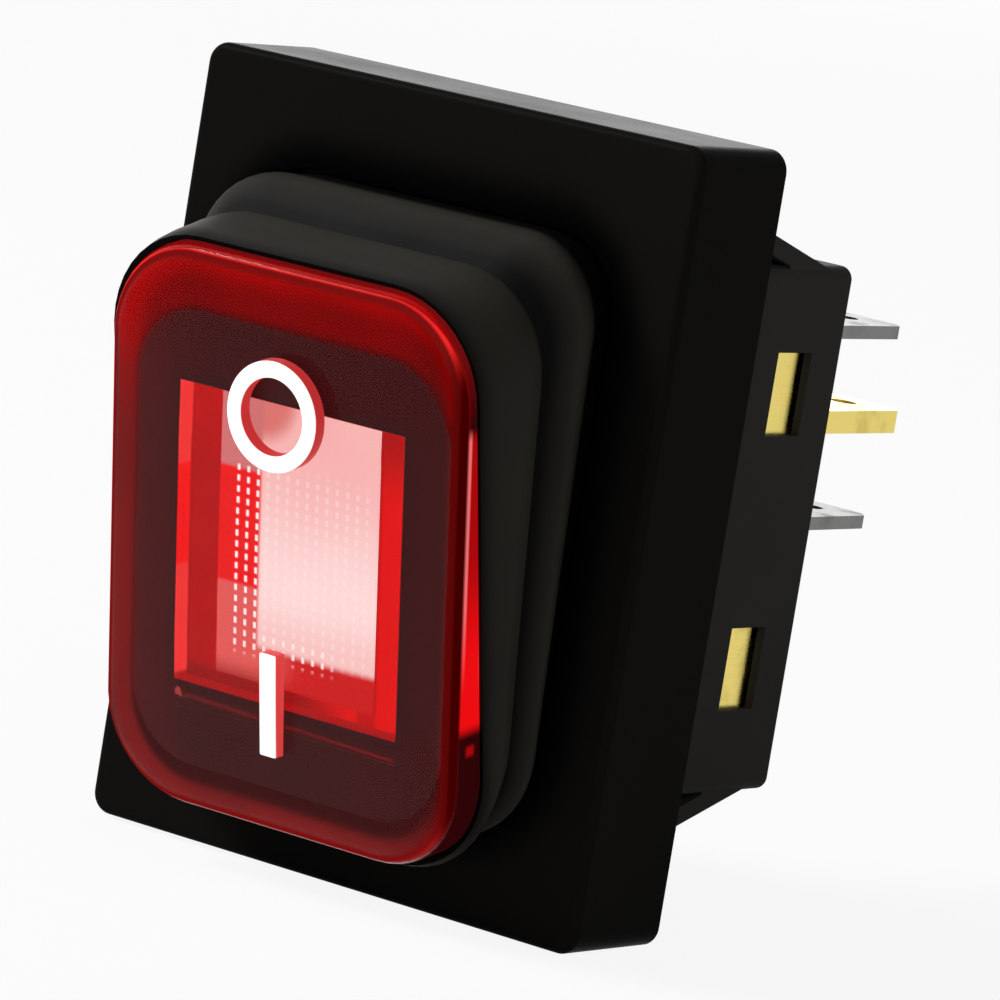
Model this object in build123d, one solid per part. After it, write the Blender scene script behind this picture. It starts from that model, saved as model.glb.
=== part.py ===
from build123d import *
from math import cos, radians, sin
import os

os.makedirs("parts", exist_ok=True)

# A panel rocker switch with a lit red lens, a sealing boot and six blade terminals.
# X runs to the right seen from the front, Y to the rear and Z up along the long side.
# The origin is the centre of the flange's back face, which seats on the panel.

# Flange and body, mm
flange_w = 31.0
flange_h = 40.0
flange_t = 7.2
flange_corner_r = 1.1
flange_edge_r = 0.45
body_margin = 0.1
body_h = 27.3
body_d = 14.2
body_wall = 1.3
body_corner_r = 0.7
body_edge_r = 0.3
opening_gap = 0.7
opening_h = 28.6
opening_r = 3.0
shelf_t = 2.0
barrier_t = 1.0
barrier_front_y = 3.0
stop_t = 0.8

# Windows in the body's sides, where the brass strips show
window_w = 3.0
window_h = 4.3
window_y = 10.0
window_z = 7.1
window_skin = 0.45

# Snap wings at the body's two ends
wing_side = 0.2
wing_t = 0.99
wing_slope = 0.307
wing_root_y = 12.2
wing_shoulder_y = 4.3
wing_tip_y = 1.2
wing_shoulder_z = 15.94
wing_nose_t = 0.95
tooth_count = 3
tooth_rise = 0.34
tooth_pitch = 0.9

# Gasket in a groove of the flange's back
gasket_w = 27.4
gasket_h = 35.4
gasket_rim = 1.8
gasket_t = 0.9
gasket_r = 2.4

# Rocker: its throw and its main block
throw_deg = 12.0
trunnion_r = 1.25
trunnion_len = 1.05
pivot_clearance = 0.05
head_h = 22.4
head_r = 2.6
head_back = 6.5
head_floor_t = 1.0
cheek_t = 0.8
cheek_gap = 0.2
cheek_h = 10.0
cheek_end = 2.4
cheek_round = 2.1

# Red lens and its two moulded marks
lens_w = 22.2
lens_h = 29.0
lens_r = 5.0
lens_rise = 8.6
lens_crown = 0.6
lens_edge_r = 0.9
lens_plate = 1.68
lens_skirt = 2.8
lens_wall = 1.25
lens_fit = 0.1
mark_depth = 1.35
mark_x = 0.0
ring_v = 7.4
ring_r = 2.83
ring_stroke = 0.9
bar_v = -7.4
bar_w = 1.05
bar_h = 5.35

# Mask, light box, diffuser and lamp behind the lens
mask_h = 23.6
mask_v = -0.6
mask_t = 0.48
view_side = 1.6
view_h = 15.4
view_x = 0.0
view_v = -0.3
groove_w = 0.3
groove_depth = 0.15
groove_drop = 1.1
stud_r = 0.35
stud_t = 0.2
glow_h = 15.6
box_side = 1.15
box_h = 18.2
box_face_t = 0.53
box_corner_r = 1.0
box_wall = 0.8
box_ledge_t = 0.8
diffuser_w = 9.9
diffuser_h = 14.6
diffuser_x = -0.2
diffuser_v = -0.1
diffuser_t = 1.0
diffuser_lip = 0.6
diffuser_lip_t = 0.6
lamp_r = 1.3
lamp_len = 8.6
lamp_end = 0.6
lamp_y = -9.05
lamp_lead_drop = 1.3
lamp_lead_end = 6.1
resistor_r = 0.95
resistor_len = 5.6
resistor_end = 0.35
resistor_y = -5.3
resistor_lead = 1.5
clip_t = 0.8
clip_wall = 0.6
clip_grip = 0.4
lead_r = 0.25
lead_clearance = 0.05
pad_r = 1.7
pad_t = 0.4

# Poles: everything here stands twice, at plus and minus pole_x
pole_inset = 3.9
tube_r = 2.1
tube_end = 6.9
plunger_r = 1.1
plunger_clearance = 0.06
plunger_len = 4.9
plunger_nose_y = 9.2
tube_floor_y = -5.6
arm_w = 2.8
arm_t = 0.6
arm_y = 9.6
arm_long = 10.2
arm_short = 4.0
arm_tilt = 5.0
lug_r = 0.5
lug_clearance = 0.05
contact_r = 1.2
contact_t = 0.6
contact_z = 8.8
contact_bevel = 0.15
contact_gap = 0.1
fixed_contact_r = 1.3
arm_corner_r = 0.5
lug_root = 0.3

# Terminals
tab_w = 4.8
tab_hole_r = 0.7
tab_hole_inset = 2.2
tab_bevel = 0.6
silver_t = 0.7
brass_t = 1.2
load_z = 9.8
lamp_z = 5.05
common_z = -0.3
load_tip = 24.2
lamp_tip = 25.4
common_tip = 23.9
foot_t = 0.8
slot_clearance = 0.1
load_foot_h = 2.9
common_foot_h = 5.0
cradle_w = 4.7
cradle_h = 3.2
cradle_t = 0.7
cradle_front = 0.5
strip_t = 0.8
strip_front_y = 5.0
strip_back_y = 11.55
strip_h = 19.2
strip_bend = 0.26
strip_bend_len = 0.55
seat_w = 5.0
seat_h = 3.8

# Coil springs
wire_r = 0.17
plunger_coil_r = 0.8
plunger_coils = 5
lamp_coil_r = 1.2
lamp_coils = 6
coil_runs = 10
lamp_spring_out = 1.2
lamp_spring_z = -7.6
spring_gap = 0.1

# Sealing boot: its neck and foot in the flange, its lip round the lens
boot_wall = 0.65
boot_neck_len = 1.0
boot_foot_out = 0.8
boot_foot_t = 1.15
boot_lip_gap = 0.08
boot_lip_t = 0.45
boot_lip_len = 0.6
boot_lip_drop = 1.8
# Each ring of the boot: its share of the rocker's tilt, its share of the lip's stand in front of the
# flange at the pressed end, and how much wider, higher and rounder it is than the lens
boot_rings = [
    (0.0, 0.0, 0.65, 0.25, -0.7),
    (0.16, 0.19, 0.75, 0.45, -0.4),
    (0.3, 0.37, 0.65, 0.35, -0.4),
    (0.38, 0.5, 0.2, -0.25, -0.7),
    (0.47, 0.65, -0.1, -0.7, -0.9),
    (0.56, 0.8, 0.2, -0.55, -0.6),
    (0.67, 0.95, 0.8, -0.1, -0.1),
    (0.84, 0.97, 0.85, 0.1, 0.3),
]
fit_gap = 0.05
seat_gap = 0.02
# How far a cutting shape runs past what it cuts
overrun = 1.0

# Places worked out from the sizes above
lens_front = flange_t + lens_rise
lens_skirt_back = lens_front - lens_skirt
head_w = lens_w - 2 * lens_wall - 2 * lens_fit
mask_w = head_w
box_w = head_w - 2 * box_side
view_w = box_w - 2 * view_side
body_w = lens_w + 2 * body_margin
wing_w = body_w - 2 * wing_side
mask_r = lens_r - lens_wall
glow_w = lens_w - 2 * lens_wall - 2 * fit_gap
mark_back = lens_front - mark_depth
opening_w = head_w + 2 * opening_gap
neck_w = lens_w + 2 * boot_rings[0][2]
neck_h = lens_h + 2 * boot_rings[0][3]
neck_r = lens_r + boot_rings[0][4]
foot_w = neck_w + 2 * boot_foot_out
foot_h = neck_h + 2 * boot_foot_out
foot_y = -flange_t + boot_neck_len
wall_in_x = body_w / 2 - body_wall
pole_x = wall_in_x - pole_inset
lamp_spring_x = pole_x + lamp_spring_out
wall_in_z = body_h / 2 - body_wall
rear_in_y = body_d - body_wall
foot_back_y = rear_in_y - fit_gap
foot_front_y = foot_back_y - foot_t
lens_back = lens_front - lens_plate
mask_front = lens_back - seat_gap
mask_back = mask_front - mask_t
box_front = mask_back - seat_gap
box_back = head_back + head_floor_t + seat_gap
ledge_front = box_front - box_face_t
head_front = ledge_front - seat_gap
lip_front = lens_front - lens_crown - boot_lip_drop
lip_back = lip_front - boot_lip_len
lip_stand = lip_back * cos(radians(throw_deg)) - lens_h / 2 * sin(radians(throw_deg)) - flange_t
strip_outer_x = body_w / 2 - window_skin - seat_gap
cheek_x = wall_in_x - cheek_gap - cheek_t / 2
bore_r = plunger_r + plunger_clearance


def facing(y, x=0, z=0, tilt=0):
    # a sketch plane that looks to the front, turned down by the tilt
    lean = radians(tilt)
    return Plane(origin=(x, y, z), x_dir=(1, 0, 0), z_dir=(0, -cos(lean), -sin(lean)))


def plate(width, height, y_front, y_back, radius=0, x=0, z=0):
    # a flat block that spans the two y values
    shape = RectangleRounded(width, height, radius) if radius else Rectangle(width, height)
    return extrude(facing(y_back, x, z) * shape, y_back - y_front)


def rod_y(radius, y_front, y_back, x=0, z=0):
    return extrude(facing(y_back, x, z) * Circle(radius), y_back - y_front)


def rod_x(radius, x_low, x_high, y=0, z=0):
    return Pos((x_low + x_high) / 2, y, z) * Rot(Y=90) * Cylinder(radius, x_high - x_low)


def block(x_low, x_high, y_low, y_high, z_low, z_high):
    size = (x_high - x_low, y_high - y_low, z_high - z_low)
    middle = ((x_low + x_high) / 2, (y_low + y_high) / 2, (z_low + z_high) / 2)
    return Pos(*middle) * Box(*size)


def span(side, x_near, x_far, y_low, y_high, z_low, z_high):
    # a block given by its distance from the middle, on either side
    low, high = sorted((side * x_near, side * x_far))
    return block(low, high, y_low, y_high, z_low, z_high)


def thrown(shape):
    # the rocker's parts are drawn level, then turned about the trunnions to ON
    return Rot(X=throw_deg) * shape


def snap_wing():
    # a springy plate that leans out from the body's end, with a few steps at its free end
    root_z = wing_shoulder_z - wing_slope * (wing_root_y - wing_shoulder_y)
    outline = [(wing_root_y, root_z), (wing_shoulder_y, wing_shoulder_z)]
    z_step = wing_shoulder_z
    y_step = wing_shoulder_y
    for _ in range(tooth_count):
        y_step -= tooth_pitch
        outline.append((y_step, z_step))
        z_step -= tooth_rise
        outline.append((y_step, z_step))
    outline.append((wing_tip_y, z_step))
    outline.append((wing_tip_y, z_step - wing_nose_t))
    outline.append((wing_shoulder_y, wing_shoulder_z - wing_t))
    root_in_y = wing_shoulder_y + (wing_shoulder_z - wing_t - body_h / 2) / wing_slope
    outline.append((root_in_y, body_h / 2))
    outline.append((root_in_y, body_h / 2 - body_wall / 2))
    outline.append((wing_root_y, body_h / 2 - body_wall / 2))
    face = make_face(Polyline(*[(0, y, z) for y, z in outline], close=True))
    return extrude(face, wing_w / 2, dir=(1, 0, 0), both=True)


def housing():
    flange = plate(flange_w, flange_h, -flange_t, 0, flange_corner_r)
    flange = fillet(flange.faces().sort_by(Axis.Y)[0].edges(), flange_edge_r)
    body = plate(body_w, body_h, -shelf_t, body_d, body_corner_r)
    body = fillet(body.faces().sort_by(Axis.Y)[-1].edges(), body_edge_r)
    shell = flange + body
    wing = snap_wing()
    shell += wing
    shell += mirror(wing, Plane.XY)
    # the hollow: the boot's neck and its undercut foot, the rocker's opening and the contact space
    shell -= plate(neck_w + 2 * fit_gap, neck_h + 2 * fit_gap, -flange_t - overrun, foot_y, neck_r)
    shell -= plate(foot_w + 2 * fit_gap, foot_h + 2 * fit_gap, foot_y - fit_gap,
                   foot_y + boot_foot_t + fit_gap, neck_r + boot_foot_out)
    shell -= plate(opening_w, opening_h, -flange_t - overrun, -shelf_t, opening_r)
    shell -= plate(2 * wall_in_x, 2 * wall_in_z, -flange_t, rear_in_y)
    shell += block(-barrier_t / 2, barrier_t / 2, barrier_front_y, rear_in_y, -wall_in_z, wall_in_z)
    pivot_end = cheek_x + cheek_t / 2 + trunnion_len + fit_gap
    shell -= rod_x(trunnion_r + pivot_clearance, -pivot_end, pivot_end)
    shell -= gasket_ring(0, 0)
    for side in (-1, 1):
        # the strip lies in a channel of the wall and shows through the two windows
        shell -= span(side, wall_in_x - overrun, strip_outer_x + seat_gap, strip_front_y - fit_gap, rear_in_y,
                      -strip_h / 2 - fit_gap, strip_h / 2 + fit_gap)
        for z in (-window_z, window_z):
            shell -= span(side, wall_in_x, body_w / 2 + overrun,
                          window_y - window_w / 2, window_y + window_w / 2,
                          z - window_h / 2, z + window_h / 2)
        slot_low = side * pole_x - tab_w / 2 - slot_clearance
        slot_high = side * pole_x + tab_w / 2 + slot_clearance
        for z, thick in ((load_z, silver_t), (lamp_z, brass_t), (common_z, silver_t)):
            half = thick / 2 + slot_clearance
            shell -= block(slot_low, slot_high, rear_in_y - overrun, body_d + overrun, z - half, z + half)
        # a stop for the blade's short end when the switch is off
        stop_front = arm_y + arm_t / 2 + arm_short * sin(radians(arm_tilt)) + contact_gap
        shell += span(side, pole_x - arm_w / 2, pole_x + arm_w / 2, stop_front, rear_in_y,
                      -arm_short, -arm_short + stop_t)
    return shell


def gasket_ring(side_gap, depth_gap):
    # the ring, or with no gaps the groove that it lies in
    width = gasket_w - 2 * side_gap
    height = gasket_h - 2 * side_gap
    rim = gasket_rim - 2 * side_gap
    ring = plate(width, height, -gasket_t + depth_gap, 0, gasket_r - side_gap)
    inner_r = gasket_r - side_gap - rim / 2
    return ring - plate(width - 2 * rim, height - 2 * rim, -gasket_t, 0, inner_r)


def panel_gasket():
    return gasket_ring(fit_gap, seat_gap)


def tilted(reach, tilt):
    # the plane square to the tilted rocker, at a distance from the trunnions
    lean = radians(tilt)
    return facing(-reach * cos(lean), 0, -reach * sin(lean), tilt)


def boot_section(ring, inset):
    share, stand_share, wider, higher, rounder = ring
    lean = radians(share * throw_deg)
    half_h = lens_h / 2 + higher
    reach = (flange_t + stand_share * lip_stand + half_h * sin(lean)) / cos(lean)
    width = lens_w + 2 * (wider - inset)
    outline = RectangleRounded(width, 2 * (half_h - inset), lens_r + rounder - inset)
    return tilted(reach, share * throw_deg) * outline


def lip_section(reach, grow):
    return tilted(reach, throw_deg) * RectangleRounded(lens_w + 2 * grow, lens_h + 2 * grow, lens_r + grow)


def sealing_boot():
    lip_out = boot_lip_gap + boot_lip_t
    rings = [boot_section(ring, 0) for ring in boot_rings]
    skin = loft(rings + [lip_section(lip_back, lip_out), lip_section(lip_front, lip_out)], ruled=True)
    rings = [boot_section(ring, boot_wall) for ring in boot_rings]
    inside = [lip_section(lip_back, boot_lip_gap), lip_section(lip_front + overrun, boot_lip_gap)]
    hollow = loft(rings + inside, ruled=True)
    neck = plate(neck_w, neck_h, -flange_t, foot_y, neck_r)
    foot = plate(foot_w, foot_h, foot_y, foot_y + boot_foot_t, neck_r + boot_foot_out)
    seat = neck + foot
    seat -= plate(opening_w, opening_h, -flange_t - overrun, 0, opening_r)
    return skin - hollow + seat


def lens_blank():
    blank = plate(lens_w, lens_h, -lens_front - overrun, -lens_skirt_back, lens_r)
    crown_r = ((lens_h / 2) ** 2 + lens_crown ** 2) / (2 * lens_crown)
    blank &= rod_x(crown_r, -lens_w, lens_w, crown_r - lens_front, 0)
    front = blank.faces().sort_by(Axis.Y)[0]
    return fillet(front.edges(), lens_edge_r)


def ring_mark_tool():
    ring = rod_y(ring_r, -lens_front - overrun, -mark_back, mark_x, ring_v)
    return ring - rod_y(ring_r - ring_stroke, -lens_front - overrun, -mark_back, mark_x, ring_v)


def bar_mark_tool():
    return plate(bar_w, bar_h, -lens_front - overrun, -mark_back, 0, mark_x, bar_v)


def rocker_lens():
    cap = lens_blank()
    cap -= plate(lens_w - 2 * lens_wall, lens_h - 2 * lens_wall, -lens_back, 0, lens_r - lens_wall)
    return thrown(cap - ring_mark_tool() - bar_mark_tool())


def off_mark():
    return thrown(lens_blank() & ring_mark_tool())


def on_mark():
    return thrown(lens_blank() & bar_mark_tool())


def rocker_mask():
    # a thin sheet with the window, and below it a fine groove that starts at a small pit
    mask = plate(mask_w, mask_h, -mask_front, -mask_back, mask_r, 0, mask_v)
    mask -= plate(view_w, view_h, -lens_front, 0, 0, view_x, view_v)
    groove_v = view_v - view_h / 2 - groove_drop
    pit_x = view_x - view_w / 2 + stud_r
    groove_end = view_x + view_w / 2
    groove_low = pit_x + 2 * stud_r
    mask -= block(groove_low, groove_end, -mask_front, -mask_front + groove_depth,
                  groove_v - groove_w / 2, groove_v + groove_w / 2)
    mask -= rod_y(stud_r, -mask_front, -mask_front + stud_t, pit_x, groove_v)
    return thrown(mask)


def light_box():
    # the front plate's two ears reach the lens's sides and light them
    face = plate(glow_w, glow_h, -box_front, -ledge_front, box_corner_r, 0, view_v)
    tray = face + plate(box_w, box_h, -box_front, -box_back, box_corner_r, 0, view_v)
    tray -= plate(box_w - 2 * box_wall, box_h - 2 * box_wall, -ledge_front + box_ledge_t, 0,
                  box_corner_r / 2, 0, view_v)
    tray -= plate(view_w, view_h, -box_front, -ledge_front, 0, view_x, view_v)
    tray -= plate(diffuser_w + 2 * fit_gap, diffuser_h + 2 * fit_gap, -box_front,
                  -ledge_front + box_ledge_t, 0, diffuser_x, diffuser_v)
    return thrown(tray)


def diffuser():
    # flush with the ledge in front, and held behind it by its lip
    panel = plate(diffuser_w, diffuser_h, -ledge_front, -ledge_front + diffuser_t, 0, diffuser_x, diffuser_v)
    lip_w = diffuser_w + 2 * diffuser_lip
    lip_h = diffuser_h + 2 * diffuser_lip
    lip_y = -ledge_front + box_ledge_t + seat_gap
    panel += plate(lip_w, lip_h, lip_y, lip_y + diffuser_lip_t, 0, diffuser_x, diffuser_v)
    return thrown(panel)


def rod_z(radius, z_low, z_high, x, y):
    return Pos(x, y, (z_low + z_high) / 2) * Cylinder(radius, z_high - z_low)


def lamp_leads(radius):
    # two wires leave the lamp's lower end and turn back through the rocker's floor
    top = view_v - lamp_len / 2 + lamp_r / 2
    bottom = view_v - lamp_len / 2 - lamp_lead_drop
    leads = []
    for x in (-lamp_r / 2, lamp_r / 2):
        drop = rod_z(radius, bottom - radius, top, x, lamp_y)
        leads.append(drop + rod_y(radius, lamp_y, -lamp_lead_end, x, bottom))
    return leads


def lamp():
    tube = rod_z(lamp_r, view_v - lamp_len / 2, view_v + lamp_len / 2, 0, lamp_y)
    tube = chamfer(tube.edges().filter_by(GeomType.CIRCLE), lamp_end)
    for lead in lamp_leads(lead_r):
        tube += lead
    return thrown(tube)


def resistor():
    half = resistor_len / 2
    body = rod_z(resistor_r, -half, half, 0, resistor_y)
    body = chamfer(body.edges().filter_by(GeomType.CIRCLE), resistor_end)
    body += rod_z(lead_r, -half - resistor_lead, half + resistor_lead, 0, resistor_y)
    return thrown(body)


def rocker_frame():
    frame = plate(head_w, head_h, -head_front, -head_back, head_r)
    frame -= plate(box_w + 2 * fit_gap, box_h + 2 * fit_gap, -head_front, -head_back - head_floor_t,
                   box_corner_r, 0, view_v)
    for side in (-1, 1):
        # the cheeks carry the trunnions, and the tubes guide the plungers
        outer = cheek_x + cheek_t / 2
        cheek = span(side, outer - cheek_t, outer, -head_back, cheek_end, -cheek_h / 2, cheek_h / 2)
        corners = cheek.edges().filter_by(Axis.X).group_by(Axis.Y)[-1]
        frame += fillet(corners, cheek_round)
        low, high = sorted((side * outer, side * (outer + trunnion_len)))
        frame += rod_x(trunnion_r, low, high)
        frame += rod_y(tube_r, -head_back, tube_end, side * pole_x, 0)
        frame -= rod_y(bore_r, tube_floor_y, tube_end, side * pole_x, 0)
    # two clips hold the resistor against the back of the head
    clip_x = resistor_r + clip_wall
    for z in (-resistor_len / 4, resistor_len / 4):
        frame += block(-clip_x, clip_x, -head_back, resistor_y + clip_grip, z - clip_t / 2, z + clip_t / 2)
    frame -= rod_z(resistor_r + seat_gap, -resistor_len, resistor_len, 0, resistor_y)
    for lead in lamp_leads(lead_r + lead_clearance):
        frame -= lead
    return thrown(frame)


def plunger(side):
    shaft_back = plunger_nose_y - plunger_r
    pin = rod_y(plunger_r, shaft_back - plunger_len, shaft_back, side * pole_x, 0)
    pin += Pos(side * pole_x, shaft_back, 0) * Sphere(plunger_r)
    return thrown(pin)


def coil(radius, length, turns):
    # square wire wound along +Z from the origin, in short straight runs
    runs = turns * coil_runs
    sections = []
    for i in range(runs + 1):
        place = Rot(Z=360 * i / coil_runs) * Pos(radius, 0, length * i / runs)
        sections.append(place * (Plane.XZ * Rectangle(2 * wire_r, 2 * wire_r)))
    return loft(sections, ruled=True)


def plunger_spring(side):
    back = plunger_nose_y - plunger_r - plunger_len - spring_gap - wire_r
    front = tube_floor_y + spring_gap + wire_r
    spring = Rot(X=-90) * coil(plunger_coil_r, back - front, plunger_coils)
    return thrown(Pos(side * pole_x, front, 0) * spring)


def pad_place(side):
    return side * lamp_spring_x, lamp_spring_z


def lamp_pad(side):
    x, z = pad_place(side)
    pad = rod_y(pad_r, -head_back + seat_gap, -head_back + pad_t, x, z)
    return thrown(pad)


def lamp_spring(side):
    x, z = pad_place(side)
    lean = radians(throw_deg)
    pad_back = -(head_back - pad_t) * cos(lean) - z * sin(lean)
    edge = lamp_coil_r * sin(lean)
    front = pad_back + edge + spring_gap + wire_r
    back = foot_front_y - spring_gap - wire_r
    spring = Rot(X=-90) * coil(lamp_coil_r, back - front, lamp_coils)
    return Pos(x, front, z) * spring


def contact_arm(side):
    blade = block(side * pole_x - arm_w / 2, side * pole_x + arm_w / 2, -arm_t / 2, arm_t / 2,
                  -arm_short, arm_long)
    blade = fillet(blade.edges().filter_by(Axis.Y), arm_corner_r)
    reach = cradle_w / 2 - seat_gap
    root = arm_w / 2 - lug_root
    blade += rod_x(lug_r, side * pole_x - reach, side * pole_x - root)
    blade += rod_x(lug_r, side * pole_x + root, side * pole_x + reach)
    return closed(blade)


def closed(shape):
    # the blade and its contact are drawn upright, then tipped until the contacts meet
    return Pos(0, arm_y, 0) * Rot(X=-arm_tilt) * shape


def moving_contact(side):
    rivet = rod_y(contact_r, arm_t / 2, arm_t / 2 + contact_t, side * pole_x, contact_z)
    rivet = chamfer(rivet.faces().sort_by(Axis.Y)[-1].edges(), contact_bevel)
    return closed(rivet)


def contact_plane_y():
    # the rearmost point of the closed moving contact, plus the gap
    lean = radians(arm_tilt)
    return arm_y + (arm_t / 2 + contact_t) * cos(lean) + (contact_z + contact_r) * sin(lean) + contact_gap


def fixed_contact(side):
    z = contact_z * cos(radians(arm_tilt))
    return rod_y(fixed_contact_r, contact_plane_y(), foot_front_y - seat_gap, side * pole_x, z)


def tab(side, z, thick, tip):
    low = side * pole_x - tab_w / 2
    high = side * pole_x + tab_w / 2
    blade = block(low, high, foot_front_y, tip, z - thick / 2, z + thick / 2)
    blade = chamfer(blade.edges().filter_by(Axis.Z).group_by(Axis.Y)[-1], tab_bevel)
    hole = Pos(side * pole_x, tip - tab_hole_inset, z) * Cylinder(tab_hole_r, thick + overrun)
    return blade - hole


def load_terminal(side):
    top = load_z + silver_t / 2
    foot = block(side * pole_x - tab_w / 2, side * pole_x + tab_w / 2, foot_front_y, foot_back_y,
                 top - load_foot_h, top)
    return tab(side, load_z, silver_t, load_tip) + foot


def common_terminal(side):
    low = side * pole_x - cradle_w / 2
    high = side * pole_x + cradle_w / 2
    shape = tab(side, common_z, silver_t, common_tip)
    shape += block(low, high, foot_front_y, foot_back_y, -common_foot_h / 2, common_foot_h / 2)
    for start in (low, high - cradle_t):
        shape += block(start, start + cradle_t, arm_y - cradle_front, foot_back_y,
                       -cradle_h / 2, cradle_h / 2)
    notch_r = lug_r + lug_clearance
    shape -= rod_x(notch_r, low - overrun, high + overrun, arm_y, 0)
    shape -= block(low - overrun, high + overrun, arm_y - 2 * overrun, arm_y, -notch_r, notch_r)
    return shape


def lamp_terminal(side):
    # one pressing: the tab's foot, the strip along the side wall and the lamp spring's seat
    outer = strip_outer_x
    inner = outer - strip_t
    bent = outer - strip_bend
    bend_y = strip_back_y - strip_bend_len
    outline = [(inner, strip_front_y), (outer, strip_front_y), (outer, bend_y), (bent, strip_back_y),
               (inner, strip_back_y)]
    face = make_face(Polyline(*[(side * x, y, 0) for x, y in outline], close=True))
    shape = extrude(face, strip_h / 2, dir=(0, 0, 1), both=True)
    tab_near = pole_x - tab_w / 2
    for near, middle, height in ((tab_near, lamp_z, brass_t), (outer - seat_w, lamp_spring_z, seat_h)):
        low = middle - height / 2
        high = middle + height / 2
        shape += span(side, near, bent, foot_front_y, foot_back_y, low, high)
        shape += span(side, inner, bent, bend_y, foot_back_y, low, high)
    return shape + tab(side, lamp_z, brass_t, lamp_tip)


parts = {
    "housing": housing(),
    "panel_gasket": panel_gasket(),
    "sealing_boot": sealing_boot(),
    "rocker_lens": rocker_lens(),
    "off_mark": off_mark(),
    "on_mark": on_mark(),
    "rocker_mask": rocker_mask(),
    "light_box": light_box(),
    "diffuser": diffuser(),
    "lamp": lamp(),
    "resistor": resistor(),
    "rocker_frame": rocker_frame(),
}
for label, side in (("left", -1), ("right", 1)):
    parts["lamp_pad_" + label] = lamp_pad(side)
    parts["lamp_spring_" + label] = lamp_spring(side)
    parts["plunger_" + label] = plunger(side)
    parts["plunger_spring_" + label] = plunger_spring(side)
    parts["contact_arm_" + label] = contact_arm(side)
    parts["moving_contact_" + label] = moving_contact(side)
    parts["fixed_contact_" + label] = fixed_contact(side)
    parts["load_terminal_" + label] = load_terminal(side)
    parts["common_terminal_" + label] = common_terminal(side)
    parts["lamp_terminal_" + label] = lamp_terminal(side)

for name, shape in parts.items():
    export_step(shape, "parts/" + name + ".step")
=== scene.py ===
import math

import bmesh
import bpy
from mathutils import Matrix, Vector


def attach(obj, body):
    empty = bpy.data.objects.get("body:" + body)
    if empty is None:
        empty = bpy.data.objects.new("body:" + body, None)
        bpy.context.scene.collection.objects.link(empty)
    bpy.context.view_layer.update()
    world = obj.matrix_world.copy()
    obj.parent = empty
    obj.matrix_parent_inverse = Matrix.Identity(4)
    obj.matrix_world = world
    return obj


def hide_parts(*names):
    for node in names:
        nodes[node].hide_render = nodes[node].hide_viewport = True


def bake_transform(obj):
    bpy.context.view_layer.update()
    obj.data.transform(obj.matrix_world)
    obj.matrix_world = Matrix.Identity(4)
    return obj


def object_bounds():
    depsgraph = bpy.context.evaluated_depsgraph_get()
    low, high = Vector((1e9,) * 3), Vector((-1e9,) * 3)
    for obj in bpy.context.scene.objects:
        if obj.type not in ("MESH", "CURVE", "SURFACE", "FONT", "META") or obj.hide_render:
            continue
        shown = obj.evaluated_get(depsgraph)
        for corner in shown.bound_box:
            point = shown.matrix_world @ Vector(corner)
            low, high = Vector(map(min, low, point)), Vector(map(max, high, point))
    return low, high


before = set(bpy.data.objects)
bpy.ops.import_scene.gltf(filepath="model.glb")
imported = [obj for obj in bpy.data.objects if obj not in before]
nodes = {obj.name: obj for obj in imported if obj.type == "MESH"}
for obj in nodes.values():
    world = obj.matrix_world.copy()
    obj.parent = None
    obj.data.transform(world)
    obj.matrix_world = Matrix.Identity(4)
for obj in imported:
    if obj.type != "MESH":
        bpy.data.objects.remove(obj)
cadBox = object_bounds()
mm = 0.001
print("switch: frame loaded,", len(nodes), "nodes")


class Value:
    # one socket, so that shader maths reads as plain sums
    def __init__(self, finish, socket):
        self.finish = finish
        self.socket = socket

    def maths(self, operation, first, second=0.0):
        return self.finish.node("ShaderNodeMath", {"operation": operation}, {0: first, 1: second})

    def __add__(self, other):
        return self.maths("ADD", self, other)

    def __radd__(self, other):
        return self.maths("ADD", other, self)

    def __sub__(self, other):
        return self.maths("SUBTRACT", self, other)

    def __rsub__(self, other):
        return self.maths("SUBTRACT", other, self)

    def __mul__(self, other):
        return self.maths("MULTIPLY", self, other)

    def __rmul__(self, other):
        return self.maths("MULTIPLY", other, self)

    def __truediv__(self, other):
        return self.maths("DIVIDE", self, other)

    def __rtruediv__(self, other):
        return self.maths("DIVIDE", other, self)

    def __abs__(self):
        return self.maths("ABSOLUTE", self)


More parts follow.
